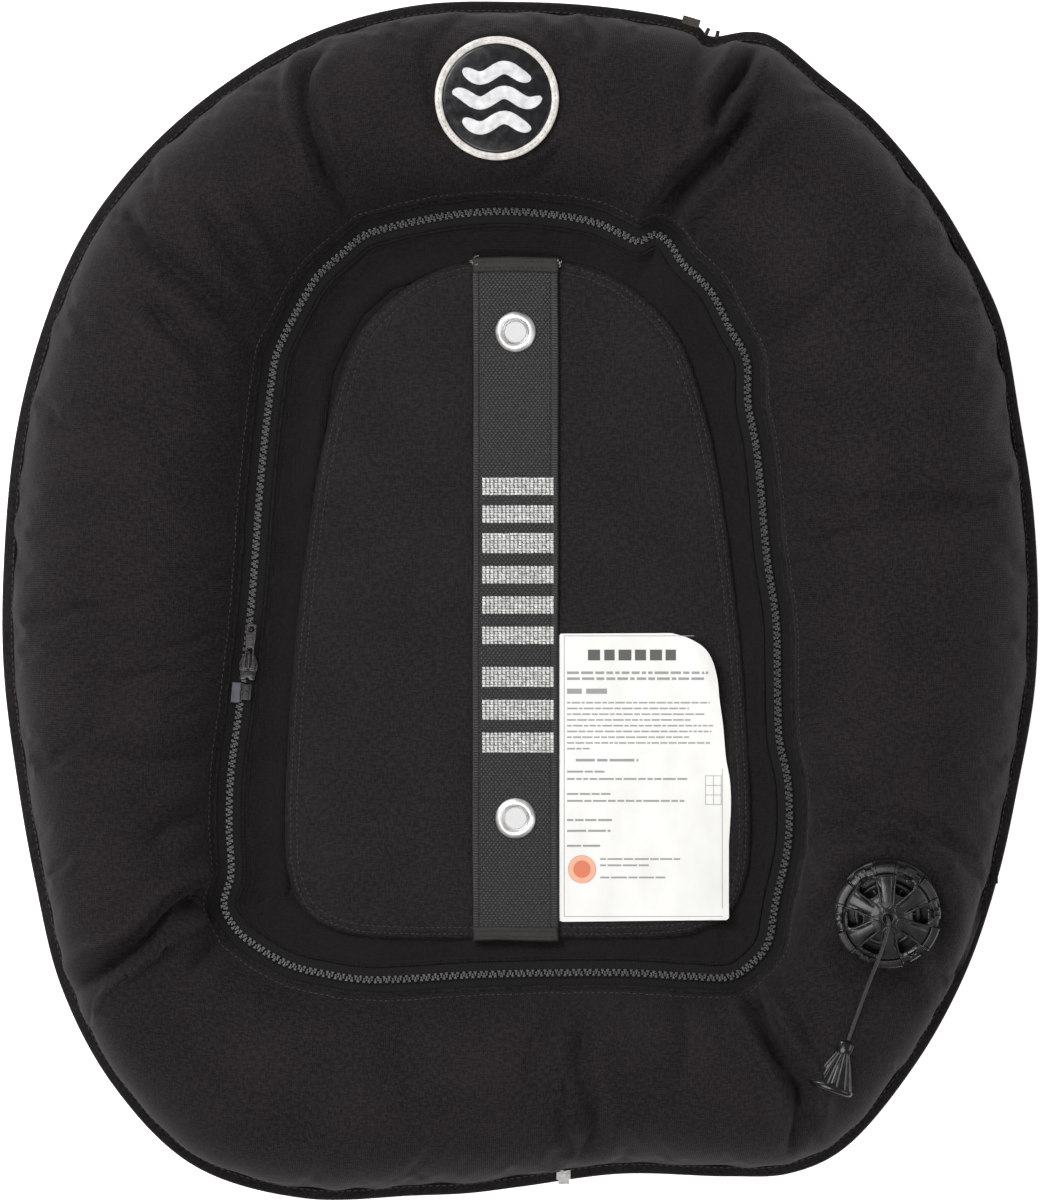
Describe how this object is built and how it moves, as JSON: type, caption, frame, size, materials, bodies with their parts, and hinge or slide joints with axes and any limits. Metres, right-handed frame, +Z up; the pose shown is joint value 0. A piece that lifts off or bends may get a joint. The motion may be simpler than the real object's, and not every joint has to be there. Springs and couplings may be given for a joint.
{
  "type": "buoyancy compensator wing",
  "caption": "Ring-shaped buoyancy wing with a zipped fabric cover, inner bladder, webbing centre with two eyelets, dump valve with pull cord, and corrugated hose with power inflator.",
  "frame": {"origin": "on the floor under the middle of the whole wing's box, cord nodes left out", "axes": "+Y towards the diver's head along the wing's long side, +X towards the diver's left, +Z up out of the side that faces the diver"},
  "size_m": [0.5957, 0.688, 0.128],
  "materials": {
    "cordura": "matt woven nylon",
    "lining": "coated nylon, satin",
    "zip_tape": "matt woven tape",
    "zip_teeth": "satin moulded plastic",
    "webbing": "coarse woven webbing",
    "nickel": "bright nickel plate",
    "label_sheet": "matt coated sheet",
    "rubber": "satin rubber",
    "badge_ring": "satin off-white rubber",
    "valve_plastic": "semi-gloss moulded plastic",
    "steel": "polished stainless steel",
    "film": "matt film",
    "seal": "matt silicone"
  },
  "bodies": {
    "wing": {"front_cover": "cordura", "rear_cover": "cordura", "bladder": "lining", "edge_binding": "cordura", "zip_tape_outer": "zip_tape", "zip_tape_inner": "zip_tape", "zip_teeth_outer": "zip_teeth", "zip_teeth_inner": "zip_teeth", "zip_stop": "zip_teeth", "zip_film_tab": "film", "centre_panel": "cordura", "pad": "cordura", "centre_webbing": "webbing", "webbing_band_top": "webbing", "webbing_band_bottom": "webbing", "grommet_upper": "nickel", "grommet_lower": "nickel", "grommet_washer_upper": "nickel", "grommet_washer_lower": "nickel", "label": "label_sheet", "badge_backing": "rubber", "badge_disc": "rubber", "badge_ring": "badge_ring", "dump_seat": "valve_plastic", "dump_gasket": "seal", "dump_spring": "steel", "dump_cap": "valve_plastic", "elbow": "valve_plastic", "elbow_ring": "valve_plastic", "inflator_hose": "rubber", "hose_tie_upper": "zip_teeth", "hose_tie_lower": "zip_teeth", "inflator_body": "valve_plastic", "inflate_spring": "steel", "deflate_spring": "steel", "lp_nipple": "steel", "mouthpiece": "rubber", "white_tag": "label_sheet", "edge_flap": "cordura"},
    "zip_slider": {"zip_slider": "zip_teeth"},
    "zip_pull": {"zip_pull": "zip_teeth"},
    "dump_poppet": {"dump_poppet": "valve_plastic", "dump_seal": "seal", "dump_cord": "rubber", "dump_knob": "rubber"},
    "inflate_button": {"inflate_button": "steel"},
    "deflate_button": {"deflate_button": "valve_plastic"}
  },
  "joints": [
    {"name": "zip_slide", "type": "slide", "parent": "wing", "child": "zip_slider", "axis": [0.0847, 0.9964, 0], "range_m": [0, 0.1]},
    {"name": "zip_pull_hinge", "type": "hinge", "parent": "zip_slider", "child": "zip_pull", "pos_m": [-0.15609, -0.0391, 0.06445], "axis": [0.9964, -0.0847, 0], "range_deg": [0, 165]},
    {"name": "dump_lift", "type": "slide", "parent": "wing", "child": "dump_poppet", "axis": [0, -0.2079, 0.9781], "range_m": [0, 0.005], "stiffness_N_per_m": 300, "springref_m": -0.002, "deforming": ["dump_spring"]},
    {"name": "inflate_press", "type": "slide", "parent": "wing", "child": "inflate_button", "axis": [0.995, -0.0998, 0], "range_m": [0, 0.003], "stiffness_N_per_m": 400, "springref_m": -0.001, "deforming": ["inflate_spring"]},
    {"name": "deflate_press", "type": "slide", "parent": "wing", "child": "deflate_button", "axis": [0.0998, 0.995, 0], "range_m": [0, 0.003], "stiffness_N_per_m": 400, "springref_m": -0.001, "deforming": ["deflate_spring"]}
  ]
}
